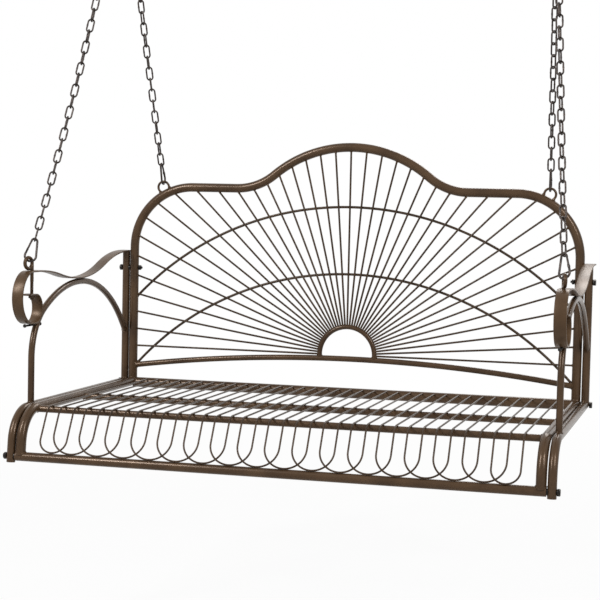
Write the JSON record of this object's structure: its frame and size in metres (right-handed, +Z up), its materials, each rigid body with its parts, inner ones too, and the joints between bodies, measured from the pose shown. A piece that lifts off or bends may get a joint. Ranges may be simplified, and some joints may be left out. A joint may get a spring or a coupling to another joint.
{
  "type": "hanging porch swing",
  "caption": "hanging metal porch swing with a sunburst back, wire seat and scrolled arms, on chains with snap hooks",
  "frame": {"origin": "on the ceiling, midway between the two ceiling hooks", "axes": "+X to the right of somebody looking at the front of the swing, +Y to the back, +Z up"},
  "size_m": [1.1974, 0.6871, 1.4622],
  "materials": {
    "bronze_coat": "satin bronze-brown powder coat",
    "black_hardware": "black oxide",
    "chain_steel": "bronzed steel wire"
  },
  "bodies": {
    "ceiling": {"ceiling_hook_left": "chain_steel", "ceiling_hook_right": "chain_steel"},
    "swing": {"arm_arch_tube_left": "bronze_coat", "arm_arch_tube_right": "bronze_coat", "arm_base_tube_left": "bronze_coat", "arm_base_tube_right": "bronze_coat", "arm_post_left": "bronze_coat", "arm_post_right": "bronze_coat", "armrest_strip_left": "bronze_coat", "armrest_strip_right": "bronze_coat", "back_chain_left": "chain_steel", "back_chain_right": "chain_steel", "back_eyes": "bronze_coat", "back_frame_tube": "bronze_coat", "back_lower_rail": "bronze_coat", "back_snap_hooks": "chain_steel", "eye_bolt_nuts": "bronze_coat", "eye_bolts": "bronze_coat", "frame_bolt_nuts": "black_hardware", "frame_bolts": "black_hardware", "frame_spacers": "black_hardware", "front_chain_left": "chain_steel", "front_chain_right": "chain_steel", "front_seat_rail": "bronze_coat", "front_snap_hooks": "chain_steel", "lower_arc_rod": "bronze_coat", "lower_front_rail": "bronze_coat", "middle_seat_rail": "bronze_coat", "rear_seat_rail": "bronze_coat", "scroll_bolt_nuts": "black_hardware", "scroll_bolts": "black_hardware", "seat_side_tube_left": "bronze_coat", "seat_side_tube_right": "bronze_coat", "seat_wire_loops": "bronze_coat", "sun_half_ring": "bronze_coat", "sun_rays": "bronze_coat", "top_rings": "chain_steel", "tube_end_caps": "black_hardware", "upper_arc_rod": "bronze_coat"},
    "back_gate_left_body": {"back_gate_left": "chain_steel"},
    "back_gate_right_body": {"back_gate_right": "chain_steel"},
    "front_gate_left_body": {"front_gate_left": "chain_steel"},
    "front_gate_right_body": {"front_gate_right": "chain_steel"}
  },
  "joints": [
    {"name": "swing_pivot", "type": "hinge", "parent": "ceiling", "child": "swing", "pos_m": [0, 0, -0.05309], "axis": [1, 0, 0], "range_deg": [-30, 30]},
    {"name": "back_gate_left_pivot", "type": "hinge", "parent": "swing", "child": "back_gate_left_body", "pos_m": [-0.48593, 0.2438, -0.78151], "axis": [0.9995, 0, 0.0328], "range_deg": [0, 14], "stiffness_Nm_per_rad": 0.02, "springref_deg": -9.74},
    {"name": "back_gate_right_pivot", "type": "hinge", "parent": "swing", "child": "back_gate_right_body", "pos_m": [0.48593, 0.2438, -0.78151], "axis": [0.9995, 0, -0.0328], "range_deg": [0, 14], "stiffness_Nm_per_rad": 0.02, "springref_deg": -9.74},
    {"name": "front_gate_left_pivot", "type": "hinge", "parent": "swing", "child": "front_gate_left_body", "pos_m": [-0.59217, -0.33146, -0.96524], "axis": [-0.4305, 0.8449, -0.3175], "range_deg": [0, 14], "stiffness_Nm_per_rad": 0.02, "springref_deg": -9.74},
    {"name": "front_gate_right_pivot", "type": "hinge", "parent": "swing", "child": "front_gate_right_body", "pos_m": [0.59217, -0.33146, -0.96524], "axis": [-0.4305, -0.8449, 0.3175], "range_deg": [0, 14], "stiffness_Nm_per_rad": 0.02, "springref_deg": -9.74}
  ]
}
